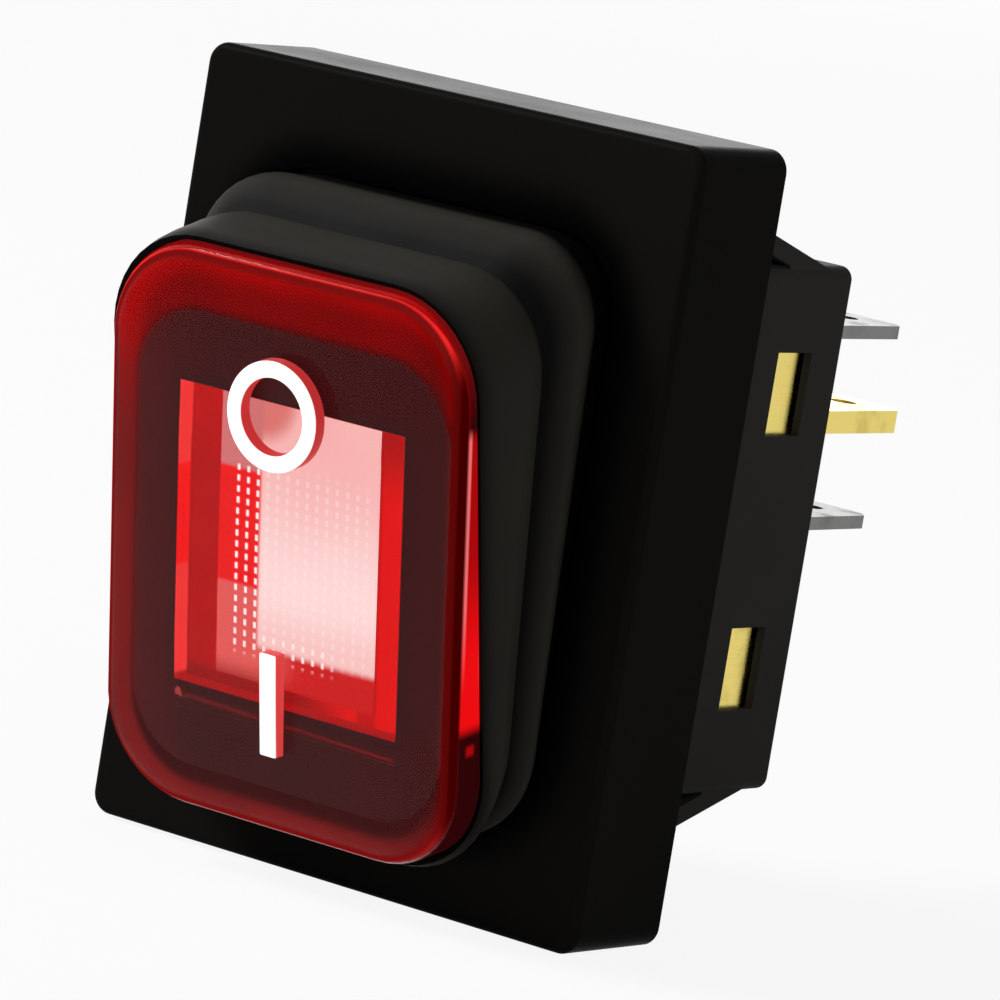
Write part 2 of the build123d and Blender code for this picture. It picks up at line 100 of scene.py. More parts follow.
class Finish:
    # one material, or the world, and the nodes it is made of
    def __init__(self, name, material=None):
        self.material = material or bpy.data.materials.new(name)
        self.material.use_nodes = True
        self.tree = self.material.node_tree
        self.tree.nodes.clear()

    def node(self, kind, settings=None, sockets=None, output=0):
        made = self.tree.nodes.new(kind)
        for key, value in (settings or {}).items():
            if key == "stops":
                while len(made.color_ramp.elements) < len(value):
                    made.color_ramp.elements.new(0.5)
                for element, (place, colour) in zip(made.color_ramp.elements, value):
                    element.position = place
                    element.color = (*colour, 1.0)
            else:
                setattr(made, key, value)
        for key, value in (sockets or {}).items():
            if isinstance(value, Value):
                self.tree.links.new(value.socket, made.inputs[key])
            elif isinstance(value, tuple) and len(value) == 3 and made.inputs[key].type == "RGBA":
                made.inputs[key].default_value = (*value, 1.0)
            else:
                made.inputs[key].default_value = value
        return Value(self, made.outputs[output])

    def place(self):
        return self.node("ShaderNodeTexCoord", output="Object")

    def tiltedPlace(self):
        # the same place in the rocker's own upright frame
        return self.node("ShaderNodeMapping", {}, {"Vector": self.place(), "Rotation": (-throwAngle, 0, 0)})

    def axes(self, place):
        made = self.node("ShaderNodeSeparateXYZ", {}, {0: place}).socket.node
        return [Value(self, made.outputs[i]) for i in range(3)]

    def grain(self, place, size, detail=2.0, stretch=(1, 1, 1)):
        # noise whose blobs are about this many mm across
        scale = tuple(s / mm for s in stretch)
        scaled = self.node("ShaderNodeMapping", {}, {"Vector": place, "Scale": scale})
        return self.node("ShaderNodeTexNoise", {}, {"Vector": scaled, "Scale": 1 / size, "Detail": detail})

    def soft(self, value, low, high):
        # 0 below low, 1 above high, smooth between
        return self.node("ShaderNodeMapRange", {"interpolation_type": "SMOOTHSTEP"},
                         {"Value": value, "From Min": low, "From Max": high})

    def inside(self, value, low, high, edge):
        return self.soft(value, low - edge, low + edge) * (1 - self.soft(value, high - edge, high + edge))

    def rise(self, value, span):
        # soft between two places in mm
        return self.soft(value, span[0] * mm, span[1] * mm)

    def band(self, value, span, edge):
        # 1 between two places in mm and 0 outside them, with soft ends
        return self.inside(value, span[0] * mm, span[1] * mm, edge * mm)

    def mix(self, factor, first, second):
        return self.node("ShaderNodeMix", {"data_type": "RGBA"}, {0: factor, 6: first, 7: second}, output=2)

    def ramp(self, value, stops):
        return self.node("ShaderNodeValToRGB", {"stops": stops}, {0: value})

    def bump(self, height, depth, strength=1.0):
        sockets = {"Height": height, "Distance": depth * mm, "Strength": strength}
        return self.node("ShaderNodeBump", {}, sockets)

    def shader(self, **sockets):
        named = {key.replace("_", " "): value for key, value in sockets.items()}
        return self.node("ShaderNodeBsdfPrincipled", {}, named)

    def done(self, shader):
        kind = "World" if isinstance(self.material, bpy.types.World) else "Material"
        end = self.tree.nodes.new("ShaderNodeOutput" + kind)
        self.tree.links.new(shader.socket, end.inputs["Surface"])
        return self.material


def shown(red, green, blue):
    # a colour as it is seen on screen, turned into the shader's linear numbers
    shares = [c / 255 for c in (red, green, blue)]
    return tuple(((c + 0.055) / 1.055) ** 2.4 if c > 0.04 else c / 12.92 for c in shares)


lensVeil = 0.011


def behindLens(red, green, blue):
    # the same for what is seen through the lens, less the light that the lens itself reflects
    return tuple(max(0.0, c - lensVeil) for c in shown(red, green, blue))


def repeat(value, start, pitch):
    # 0 to 1 again and again along a length, from a start and with a pitch in mm
    turns = (value - start * mm) / (pitch * mm)
    return turns.maths("FRACT", turns)


def inwardFrom(x, v, halfW, halfH, radius):
    # how far a point lies inside a rounded rectangle's outline, in mm
    dx = abs(x) / mm - (halfW - radius)
    dv = abs(v) / mm - (halfH - radius)
    outX = dx.maths("MAXIMUM", dx, 0.0)
    outV = dv.maths("MAXIMUM", dv, 0.0)
    span = outX * outX + outV * outV
    far = span.maths("SQRT", span)
    near = dx.maths("MINIMUM", dx.maths("MAXIMUM", dx, dv), 0.0)
    return radius - far - near


def outline(halfW, halfH, radius, steps=10):
    # a rounded rectangle as (x, v) points, the same count whatever its size
    points = []
    for cornerX, cornerV, start in ((1, 1, 0), (-1, 1, 90), (-1, -1, 180), (1, -1, 270)):
        for i in range(steps + 1):
            a = math.radians(start + 90 * i / steps)
            points.append((cornerX * (halfW - radius) + radius * math.cos(a),
                           cornerV * (halfH - radius) + radius * math.sin(a)))
    return points


def skin(name, rings, closed=False, capFirst=False, capLast=False):
    # quads between rings of points in mm, as one mesh in metres
    build = bmesh.new()
    rows = [[build.verts.new(Vector(p) * mm) for p in ring] for ring in rings]
    count = len(rows[0])
    pairs = list(zip(rows, rows[1:]))
    if closed:
        pairs.append((rows[-1], rows[0]))
    for low, high in pairs:
        for i in range(count):
            j = (i + 1) % count
            build.faces.new((low[i], low[j], high[j], high[i]))
    if capFirst:
        build.faces.new(rows[0][::-1])
    if capLast:
        build.faces.new(rows[-1])
    bmesh.ops.recalc_face_normals(build, faces=build.faces)
    mesh = bpy.data.meshes.new(name)
    build.to_mesh(mesh)
    build.free()
    piece = bpy.data.objects.new(name, mesh)
    bpy.context.scene.collection.objects.link(piece)
    return piece


def throwPiece(piece):
    # drawn upright, then turned about the trunnions to where the CAD rocker rests
    piece.data.transform(Matrix.Rotation(throwAngle, 4, "X"))


def smoothShade(piece, degrees=35):
    piece.data.polygons.foreach_set("use_smooth", [True] * len(piece.data.polygons))
    build = bmesh.new()
    build.from_mesh(piece.data)
    for edge in build.edges:
        if len(edge.link_faces) == 2 and edge.calc_face_angle(0) > math.radians(degrees):
            edge.smooth = False
    build.to_mesh(piece.data)
    build.free()


# sizes that the rocker's pieces share, mm
rocker = {
    "throw": 12.0, "lensW": 22.2, "lensH": 29.0, "lensR": 5.0, "lensFront": 15.8, "crown": 0.6,
    "edgeR": 0.9, "edgeSteps": 7, "plate": 1.68, "skirtBack": 13.0, "wall": 1.25,
    "windowX": 0.0, "windowV": -0.3, "windowW": 14.0, "windowH": 15.4,
}
throwAngle = math.radians(rocker["throw"])
crownR = ((rocker["lensH"] / 2) ** 2 + rocker["crown"] ** 2) / (2 * rocker["crown"])


def crownFront(v):
    # the lens's front at a height, before its edge is rounded
    return -(rocker["lensFront"] - (crownR - math.sqrt(crownR ** 2 - v ** 2)))


# the camera fitted to the photo, in metres, degrees and mm
camera = {"place": (0.2017199, -0.2802442, 0.0466542), "turn": (82.1457, -9.2523, 36.7803), "lens": 249.15,
          "sensor": 36, "near": 0.01, "far": 20}
# lights in watts and metres
studio = {"world": 0.20, "keyPower": 6.0, "keyPlace": (-0.55, -0.40, 0.52), "keySize": 0.34,
          "fillPower": 0.45, "fillPlace": (0.62, -0.24, 0.36), "fillSize": 0.4,
          "backPower": 1.3, "backPlace": (-0.62, 0.80, 0.26), "backSize": 0.5,
          "floorWhite": 0.90, "floorSize": 8, "floorGap": 0.0002}


def makeCamera():
    data = bpy.data.cameras.new("camera")
    data.lens = camera["lens"]
    data.sensor_width = camera["sensor"]
    data.clip_start = camera["near"]
    data.clip_end = camera["far"]
    eye = bpy.data.objects.new("camera", data)
    eye.location = camera["place"]
    eye.rotation_euler = [math.radians(a) for a in camera["turn"]]
    bpy.context.scene.collection.objects.link(eye)
    bpy.context.scene.camera = eye


def areaLight(name, power, size, place):
    data = bpy.data.lights.new(name, "AREA")
    data.energy = power
    data.size = size
    lamp = bpy.data.objects.new(name, data)
    lamp.location = place
    lamp.rotation_euler = (-Vector(place)).to_track_quat("-Z", "Y").to_euler()
    bpy.context.scene.collection.objects.link(lamp)


def seenRays(paint):
    # 1 where the camera sees a surface directly, or in metal or glass
    ray = "ShaderNodeLightPath"
    seen = paint.node(ray, output="Is Camera Ray")
    for kind in ("Is Glossy Ray", "Is Transmission Ray"):
        seen = seen.maths("MAXIMUM", seen, paint.node(ray, output=kind))
    return seen


def floorFinish():
    paint = Finish("paleFloor")
    speck = paint.grain(paint.place(), 3.0, 4.0)
    tone = paint.ramp(speck, [(0.3, (0.88, 0.88, 0.88)), (0.7, (0.92, 0.92, 0.92))])
    lit = paint.shader(Base_Color=tone, Roughness=0.9, Specular_IOR_Level=0.0)
    glow = paint.node("ShaderNodeEmission", {}, {"Color": (1.0, 1.0, 1.0), "Strength": 1.0})
    # only the seen floor is partly its own white, and the rest of it still holds the shadow
    share = seenRays(paint) * studio["floorWhite"]
    return paint.done(paint.node("ShaderNodeMixShader", {}, {0: share, 1: lit, 2: glow}))


def makeStudio():
    # the world is white where it is seen, and dimmer as light on the object
    sky = Finish("sky", bpy.data.worlds.new("studio"))
    strength = studio["world"] + seenRays(sky) * (1.0 - studio["world"])
    sky.done(sky.node("ShaderNodeBackground", {}, {"Color": (1.0, 1.0, 1.0), "Strength": strength}))
    bpy.context.scene.world = sky.material
    for name in ("key", "fill", "back"):
        areaLight(name + "Light", studio[name + "Power"], studio[name + "Size"], studio[name + "Place"])
    under = cadBox[0].z - studio["floorGap"]
    bpy.ops.mesh.primitive_plane_add(size=studio["floorSize"], location=(0, 0, under))
    ground = bpy.context.object
    ground.name = "floor"
    ground.data.materials.append(floorFinish())
    bpy.context.scene.view_settings.view_transform = "Standard"


makeCamera()
makeStudio()
print("switch: camera, floor and light")


# one black moulding, mm and linear colours; the boot's size is for the painted shade round it
plastic = {
    "flange": (0.0072, 0.0069, 0.0060), "body": (0.040, 0.0392, 0.0370),
    "cloudTone": (0.0110, 0.0107, 0.0098), "bootShadeTone": (0.0006, 0.0006, 0.0005), "gloss": 0.004,
    "rough": 0.30, "bodyRough": 0.12, "bodySpan": (0.0, 0.6), "bootW": 23.4, "bootH": 29.6,
    "bootR": 4.5, "bootShadeSpan": (0.2, 2.6), "cloud": 6.0, "fine": 0.22, "relief": 0.006,
}


def blackPlastic():
    # the flange is smooth satin, the body behind it a little paler and more matt
    paint = Finish("blackPlastic")
    place = paint.place()
    x, y, z = paint.axes(place)
    behind = paint.rise(y, plastic["bodySpan"])
    cloud = paint.grain(place, plastic["cloud"], 3.0)
    fine = paint.grain(place, plastic["fine"], 3.0)
    tone = paint.mix(behind, plastic["flange"], plastic["body"])
    tone = paint.mix(cloud * 0.25, tone, plastic["cloudTone"])
    # painted shadow: the flange is darkened close round the boot's foot, where the boot shades it
    beside = -1.0 * inwardFrom(x, z, plastic["bootW"] / 2, plastic["bootH"] / 2, plastic["bootR"])
    near = (1 - paint.soft(beside, *plastic["bootShadeSpan"])) * (1 - behind)
    tone = paint.mix(near * 0.9, tone, plastic["bootShadeTone"])
    rough = plastic["rough"] + behind * plastic["bodyRough"] + (cloud - 0.5) * 0.16 + (fine - 0.5) * 0.08
    relief = paint.bump(fine * (0.35 + behind * 0.65), plastic["relief"], 0.5)
    return paint.done(paint.shader(Base_Color=tone, Roughness=rough, Normal=relief,
                                   Specular_IOR_Level=plastic["gloss"]))


rubber = {"cloud": 4.0, "fine": 0.12, "relief": 0.004, "foldShadeTone": (0.0008, 0.0008, 0.0007), "rough": 0.52,
          "gloss": 0.04}


def blackRubber(name, tone, dust, shadedFolds=False):
    paint = Finish(name)
    place = paint.place()
    cloud = paint.grain(place, rubber["cloud"], 4.0)
    fine = paint.grain(place, rubber["fine"], 2.0)
    colour = paint.mix(paint.soft(cloud, 0.35, 0.75), tone, dust)
    # painted shade: the folds are darkened by the number the boot's mesh holds
    if shadedFolds:
        creaseShade = paint.node("ShaderNodeAttribute", {"attribute_name": "fold"}, output="Fac")
        colour = paint.mix(creaseShade, colour, rubber["foldShadeTone"])
    rough = rubber["rough"] + (cloud - 0.5) * 0.15
    return paint.done(paint.shader(Base_Color=colour, Roughness=rough, Specular_IOR_Level=rubber["gloss"],
                                   Normal=paint.bump(fine, rubber["relief"], 0.4)))


moulding = {"cloud": 2.5, "fine": 0.15, "relief": 0.003, "gloss": 0.35}


def plainMoulding(name, tone, second, rough):
    paint = Finish(name)
    place = paint.place()
    cloud = paint.grain(place, moulding["cloud"], 3.0)
    fine = paint.grain(place, moulding["fine"], 2.0)
    return paint.done(paint.shader(Base_Color=paint.mix(cloud, tone, second),
                                   Roughness=rough + (cloud - 0.5) * 0.15,
                                   Specular_IOR_Level=moulding["gloss"],
                                   Normal=paint.bump(fine, moulding["relief"], 0.5)))


sheet = {
    "line": 0.05, "lineStretch": (1, 0.04, 1), "patch": 1.6, "scuffSpan": (0.48, 0.72),
    "relief": 0.0015,
}


def rolledMetal(name, tone, second, rough, edge=1.0):
    # sheet with fine drawn lines along the blade and a few duller patches
    paint = Finish(name)
    place = paint.place()
    lines = paint.grain(place, sheet["line"], 2.0, sheet["lineStretch"])
    patch = paint.grain(place, sheet["patch"], 3.0)
    scuff = paint.soft(patch, *sheet["scuffSpan"])
    colour = paint.mix(scuff * 0.7, tone, second)
    surface = rough + scuff * 0.14 + (lines - 0.5) * 0.12
    return paint.done(paint.shader(Base_Color=colour, Metallic=1.0, Roughness=surface,
                                   Specular_Tint=(edge, edge, edge),
                                   Normal=paint.bump(lines, sheet["relief"], 0.35)))


# places along the body and half a band's width in mm
resistor = {
    "tone": (0.62, 0.47, 0.27), "second": (0.52, 0.38, 0.20), "speck": 0.3,
    "halfBand": 0.22, "bandEdge": 0.03,
    "bands": ((-1.7, (0.05, 0.02, 0.01)), (-0.8, (0.02, 0.02, 0.02)), (0.1, (0.75, 0.30, 0.02)),
              (1.6, (0.55, 0.42, 0.12))),
}


def bandedResistor():
    paint = Finish("resistorBody")
    place = paint.place()
    x = paint.axes(place)[0]
    speck = paint.grain(place, resistor["speck"], 2.0)
    colour = paint.mix(speck * 0.5, resistor["tone"], resistor["second"])
    half = resistor["halfBand"]
    for where, band in resistor["bands"]:
        colour = paint.mix(paint.band(x, (where - half, where + half), resistor["bandEdge"]), colour, band)
    return paint.done(paint.shader(Base_Color=colour, Roughness=0.35 + speck * 0.1,
                                   Normal=paint.bump(speck, 0.01, 0.3)))


neon = {
    "glass": (0.75, 0.55, 0.45), "dim": (0.02, 0.008, 0.004), "bright": (1.0, 0.22, 0.06),
    "strength": 1.2, "coreV": (-3.8, 1.6), "coreEdge": 0.5, "rodX": 0.45, "rodSpan": (0.15, 0.4),
    "swirl": 0.8, "coat": 0.6,
}


def lampGlass():
    # the small neon lamp: clear bulb over two warm electrodes
    paint = Finish("lampGlass")
    place = paint.tiltedPlace()
    x, _, v = paint.axes(place)
    swirl = paint.grain(place, neon["swirl"], 2.0)
    core = paint.band(v, neon["coreV"], neon["coreEdge"])
    rod = 1 - paint.rise(abs(abs(x) - neon["rodX"] * mm), neon["rodSpan"])
    glow = paint.mix(core * (0.35 + rod * 0.65), neon["dim"], neon["bright"])
    return paint.done(paint.shader(Base_Color=neon["glass"], Roughness=0.06 + swirl * 0.05,
                                   Coat_Weight=neon["coat"], Emission_Color=glow,
                                   Emission_Strength=neon["strength"]))


print("switch: plain finishes")

# colours of the lamp-lit pieces as they are seen, painted in as glow with their light and shade, and the
# heights in mm where the window's wall changes
lit = {
    "mask": behindLens(60, 15, 17), "maskLeft": behindLens(80, 23, 22),
    "maskEdge": behindLens(34, 8, 10), "wall": behindLens(243, 20, 22),
    "wallPale": behindLens(240, 58, 56), "wallLow": behindLens(168, 19, 19),
    "ledge": behindLens(176, 17, 19), "ledgeTop": behindLens(194, 19, 21),
    "ledgeRight": behindLens(226, 22, 26), "ledgeDark": behindLens(120, 8, 12),
    "panelRed": behindLens(236, 24, 26), "panelPink": behindLens(246, 178, 175),
    "panelPale": behindLens(254, 224, 222), "panelLow": behindLens(247, 192, 189),
    "sideTop": behindLens(208, 119, 120), "sideLow": behindLens(226, 94, 91),
    "ringShadeTone": behindLens(214, 104, 98), "dot": behindLens(255, 240, 238),
    "border": behindLens(122, 18, 18), "floor": behindLens(202, 26, 21),
    "floorDark": behindLens(153, 17, 15), "groove": behindLens(118, 30, 30),
    "pit": behindLens(160, 66, 62), "black": (0.004, 0.0, 0.0), "footV": (-7.9, -7.6),
    "middleV": (-2.15, 3.05), "middleEdge": 0.12,
    "film": {"v": -1.0, "w": 19.4, "h": 24.4, "r": 3.9, "span": (-0.45, 0.35)},
}


def filmShare(paint, x, v):
    # 1 on the dark film, 0 on the border round it, with a soft change between
    film = lit["film"]
    within = inwardFrom(x, v - film["v"] * mm, film["w"] / 2, film["h"] / 2, film["r"])
    return paint.soft(within, *film["span"])


def wallTone(paint, v):
    # painted light and shade on the window's wall: purest across its middle, paler above and below, and
    # dark at its foot
    ends = paint.mix(paint.rise(v, lit["footV"]), lit["wallLow"], lit["wallPale"])
    return paint.mix(paint.band(v, lit["middleV"], lit["middleEdge"]), ends, lit["wall"])


# the moulded line under the window and the gate pit at its left end, painted as paler glow, and the painted
# shade along the window's cut edge, mm
mask = {
    "leftX": (-10.0, -5.0), "cutSpan": (0.006, 0.02), "rimSpan": (0.02, 0.5), "lineV": -8.87,
    "slope": 0.026, "lineSpan": (0.07, 0.16), "lineX": (-6.4, 6.9), "lineEdge": 0.2, "brightX": (-2, 6),
    "pitX": -6.75, "pitV": -8.68, "pitSquash": 0.7, "pitSpan": (0.02, 0.06),
}


def darkRedFilm():
    paint = Finish("darkRedFilm")
    place = paint.tiltedPlace()
    x, _, v = paint.axes(place)
    cloud = paint.grain(place, 5.0, 2.0)
    # painted light: the film glows, paler towards the left, with painted shade along the window's cut edge
    left = 1 - paint.rise(x, mask["leftX"])
    tone = paint.mix(left * 0.8 + (cloud - 0.5) * 0.5, lit["mask"], lit["maskLeft"])
    dx = abs(x - rocker["windowX"] * mm)
    dv = abs(v - rocker["windowV"] * mm)
    beside = dx.maths("MAXIMUM", dx - rocker["windowW"] / 2 * mm, dv - rocker["windowH"] / 2 * mm)
    cut = 1 - paint.rise(beside, mask["cutSpan"])
    rim = (1 - paint.rise(beside, mask["rimSpan"])) * (1 - cut)
    tone = paint.mix(rim * 0.5, tone, lit["maskEdge"])
    away = abs(v + x * mask["slope"] - mask["lineV"] * mm)
    under = (1 - paint.rise(away, mask["lineSpan"])) * paint.band(x, mask["lineX"], mask["lineEdge"])
    tone = paint.mix(under * (0.65 + paint.rise(x, mask["brightX"]) * 0.3), tone, lit["groove"])
    pitX = abs(x - mask["pitX"] * mm) / mm
    pitV = abs(v - mask["pitV"] * mm) / mm * mask["pitSquash"]
    tone = paint.mix(1 - paint.soft(pitX * pitX + pitV * pitV, *mask["pitSpan"]), tone, lit["pit"])
    tone = paint.mix(cut, tone, wallTone(paint, v))
    tone = paint.mix(1 - filmShare(paint, x, v), tone, lit["border"])
    fine = paint.grain(place, 0.2, 2.0)
    return paint.done(paint.shader(Base_Color=lit["black"], Roughness=0.5 + (fine - 0.5) * 0.2,
                                   Specular_IOR_Level=0.0, Emission_Color=tone, Emission_Strength=1.0))


tray = {
    "lowV": (-7.6, -7.0), "highV": (3.0, 7.0), "rightX": (-1.0, 4.0), "darkX": (3.8, 4.95),
    "darkEdge": 0.08, "wallY": (-13.15, -13.10), "black": (0.02, 0.0, 0.0),
}


def redTray():
    paint = Finish("redTray")
    place = paint.tiltedPlace()
    x, y, v = paint.axes(place)
    cloud = paint.grain(place, 3.0, 2.0)
    low = 1 - paint.rise(v, tray["lowV"])
    high = paint.rise(v, tray["highV"])
    right = paint.rise(x, tray["rightX"])
    # painted light and shade on the glowing ledge, changing from left to right and from top to foot
    tone = paint.mix(right, lit["ledge"], lit["ledgeRight"])
    tone = paint.mix(high * 0.6, tone, paint.mix(right, lit["ledgeTop"], lit["ledgeDark"]))
    tone = paint.mix(low * 0.6 * (1 - right), tone, lit["ledgeDark"])
    # painted shade: on the right the ledge is darker next to the panel
    tone = paint.mix(paint.band(x, tray["darkX"], tray["darkEdge"]) * 0.45, tone, lit["ledgeDark"])
    # painted light: the window's own wall, in front of the ledge, is the brightest red
    front = 1 - paint.rise(y, tray["wallY"])
    tone = paint.mix(front, tone, wallTone(paint, v))
    tone = paint.mix((cloud - 0.5) * 0.5, tone, lit["wall"])
    return paint.done(paint.shader(Base_Color=tray["black"], Roughness=0.35 + cloud * 0.1,
                                   Specular_IOR_Level=0.0, Emission_Color=tone, Emission_Strength=1.0))


# where the panel changes, and its rows of dashes: a start and a pitch in mm, and shares of the pitch
panel = {
    "black": (0.02, 0.01, 0.01), "fieldX": (-2.7, -2.4), "fieldV": (-5.8, -5.3), "shadeV": (-2.5, 5.0),
    "lowV": (-5.2, -2.5), "ringX": -2.7, "ringV": 7.2, "ringSpan": (2.0, 7.0), "redV": (-2.6, 3.3),
    "redEdge": 0.12, "sideV": (-1.0, 1.0), "floorShadeV": (-7.9, -6.3), "floorX": (-2.2, 0.6),
    "columns": (-4.30, 0.62), "rows": (-5.90, 0.56), "dashX": (0.10, 0.19), "dashV": (0.22, 0.34),
    "strongX": (-4.3, -2.4), "strongV": (-5.0, 3.6), "endsX": (-4.3, 2.2), "endsV": (-6.0, -4.8),
    "faintX": (-3.0, 4.2), "faintV": (-5.5, 3.8), "faint": 0.35, "relief": 0.02,
}


def milkyPanel():
    paint = Finish("milkyPanel")
    place = paint.tiltedPlace()
    x, _, v = paint.axes(place)
    cloud = paint.grain(place, 4.0, 2.0)
    # painted light: a pale glowing field, pinker towards the top and duller low down, red to its left and
    # below it
    above = paint.rise(v, panel["fieldV"])
    field = paint.rise(x, panel["fieldX"]) * above
    shade = paint.rise(v, panel["shadeV"])
    pale = paint.mix(shade * 0.85 + (cloud - 0.5) * 0.3, lit["panelPale"], lit["panelPink"])
    pale = paint.mix((1 - paint.rise(v, panel["lowV"])) * 0.7, pale, lit["panelLow"])
    # painted shade of the ring mark on the panel behind it
    ringX = (x - panel["ringX"] * mm) / mm
    ringV = (v - panel["ringV"] * mm) / mm
    ringShade = 1 - paint.soft(ringX * ringX + ringV * ringV, *panel["ringSpan"])
    pale = paint.mix(ringShade * 0.85, pale, lit["ringShadeTone"])
    # painted light and shade on the red sides and floor, changing with height and darker low on the floor's
    # left
    side = paint.mix(paint.rise(v, panel["sideV"]), lit["sideLow"], lit["sideTop"])
    side = paint.mix(paint.band(v, panel["redV"], panel["redEdge"]), side, lit["panelRed"])
    floorShade = paint.mix(paint.rise(v, panel["floorShadeV"]), lit["floorDark"], lit["sideLow"])
    low = paint.mix(paint.rise(x, panel["floorX"]), floorShade, lit["floor"])
    side = paint.mix(1 - above, side, low)
    tone = paint.mix(field, side, pale)
    # rows of fine moulded dashes that catch the light
    column = repeat(x, *panel["columns"])
    row = repeat(v, *panel["rows"])
    dash = 1 - paint.soft(abs(column - 0.5), *panel["dashX"])
    dash = dash * (1 - paint.soft(abs(row - 0.5), *panel["dashV"]))
    strong = paint.band(x, panel["strongX"], 0.1) * paint.band(v, panel["strongV"], 0.3)
    ends = paint.band(x, panel["endsX"], 0.3) * paint.band(v, panel["endsV"], 0.3)
    faint = paint.band(x, panel["faintX"], 0.3) * paint.band(v, panel["faintV"], 0.4) * panel["faint"]
    zone = strong.maths("MAXIMUM", strong, ends.maths("MAXIMUM", ends * 0.9, faint))
    tone = paint.mix(dash * zone, tone, lit["dot"])
    return paint.done(paint.shader(Base_Color=panel["black"], Roughness=0.4 + (cloud - 0.5) * 0.1,
                                   Specular_IOR_Level=0.0, Emission_Color=tone, Emission_Strength=1.0,
                                   Normal=paint.bump(dash, panel["relief"], 0.6)))


print("switch: lit finishes")

# the lens's colours as they are seen, with their painted light and shade, and where they change in mm; "In"
# spans are counted inward
lensLook = {
    "side": shown(38, 5, 7), "sideTop": shown(120, 16, 17), "edge": shown(250, 120, 116),
    "line": shown(242, 42, 40), "rimLow": shown(150, 24, 24), "glow": shown(236, 14, 18),
    "glowDim": shown(120, 6, 10), "glowLine": shown(255, 130, 130), "border": shown(118, 17, 17),
    "borderTop": behindLens(122, 18, 18), "borderLit": behindLens(168, 24, 22),
    "borderDark": behindLens(64, 10, 12), "leftX": (-10.6, -9.8), "rightX": (9.5, 10.9),
    "upV": (8.0, 13.5), "stripV": (-6.6, 8.4), "stripEdge": 0.40, "spotY": (-14.4, -13.8),
    "spotV": (-7.9, -7.4), "spotEdge": 0.15, "dimV": (-3.5, 3.0), "lineV": (-5.0, 1.0),
    "lineY": (-14.72, -13.65), "lineEdge": 0.05, "rimIn": (0.55, 0.80), "browY": (-15.0, -14.85),
    "crestIn": (0.02, 0.32), "crestEdge": 0.06, "paleV": (-6.0, 9.0), "paleEdge": 3.0,
    "sideIn": (0.05, 0.14), "tint": (1.0, 0.93, 0.93), "mirror": (0.03, 0.02, 0.02), "ior": 1.43,
    "black": (0.02, 0.0, 0.0),
}


def redLens():
    paint = Finish("redLens")
    place = paint.tiltedPlace()
    x, y, v = paint.axes(place)
    inward = inwardFrom(x, v, rocker["lensW"] / 2, rocker["lensH"] / 2, rocker["lensR"])
    fine = paint.grain(place, 0.6, 2.0)
    cloud = paint.grain(place, 4.0, 2.0)
    left = 1 - paint.rise(x, lensLook["leftX"])
    right = paint.rise(x, lensLook["rightX"])
    up = paint.rise(v, lensLook["upV"])
    # painted light and shade on the side wall: dark, brighter along the top
    tone = paint.mix(up, lensLook["side"], lensLook["sideTop"])
    tone = paint.mix(cloud * 0.4, tone, lensLook["side"])
    # painted light: the lamp-lit strip on the right, between two pale painted lines of light
    reach = paint.band(v, lensLook["stripV"], lensLook["stripEdge"])
    spot = paint.band(y, lensLook["spotY"], lensLook["spotEdge"])
    spot = spot * paint.band(v, lensLook["spotV"], lensLook["spotEdge"])
    glow = paint.mix(paint.rise(v, lensLook["dimV"]) * 0.7, lensLook["glow"], lensLook["glowDim"])
    line = paint.rise(v, lensLook["lineV"]) * (1 - paint.band(y, lensLook["lineY"], lensLook["lineEdge"]))
    tone = paint.mix((reach + spot * 0.4) * right, tone, paint.mix(line * 0.7, glow, lensLook["glowLine"]))
    # painted highlights and shade on the rounded edge: bright along the top, pale on the left, plain red
    # below, dark on the right
    rim = 1 - paint.soft(inward, *lensLook["rimIn"])
    brow = 1 - paint.rise(y, lensLook["browY"])
    crest = paint.inside(inward, *lensLook["crestIn"], lensLook["crestEdge"])
    crestTone = paint.mix(up, lensLook["rimLow"], lensLook["line"])
    pale = left * paint.band(v, lensLook["paleV"], lensLook["paleEdge"])
    crestTone = paint.mix(pale, crestTone, lensLook["edge"])
    crestTone = paint.mix(right, crestTone, lensLook["borderDark"])
    rimTone = paint.mix(right * 0.7, lensLook["border"], lensLook["borderDark"])
    tone = paint.mix(brow, tone, paint.mix(crest, rimTone, crestTone))
    side = (1 - paint.soft(inward, *lensLook["sideIn"])) * (1 - brow)
    painted = side.maths("MAXIMUM", side, rim * brow)
    solid = paint.shader(Base_Color=lensLook["black"], Roughness=0.2, Specular_IOR_Level=0.0,
                         Emission_Color=tone, Emission_Strength=1.0)
    wave = paint.bump(paint.grain(place, 7.0, 1.0), 0.01, 0.2)
    clear = paint.shader(Base_Color=lensLook["tint"], Roughness=0.02 + (fine - 0.5) * 0.01,
                         IOR=lensLook["ior"], Transmission_Weight=1.0, Specular_Tint=lensLook["mirror"],
                         Normal=wave)
    return paint.done(paint.node("ShaderNodeMixShader", {}, {0: painted, 1: clear, 2: solid}))


# the plain red plastic round the dark film: its inner edge and how it lies before the lens's back, mm
border = {
    "v": -0.6, "w": 19.3, "h": 23.4, "inset": 0.2, "front": 0.03, "back": 0.01, "topV": (2.0, 12.0),
    "darkX": (6.0, 10.5), "litIn": (0.5, 2.2), "litV": (4.0, 12.0),
}


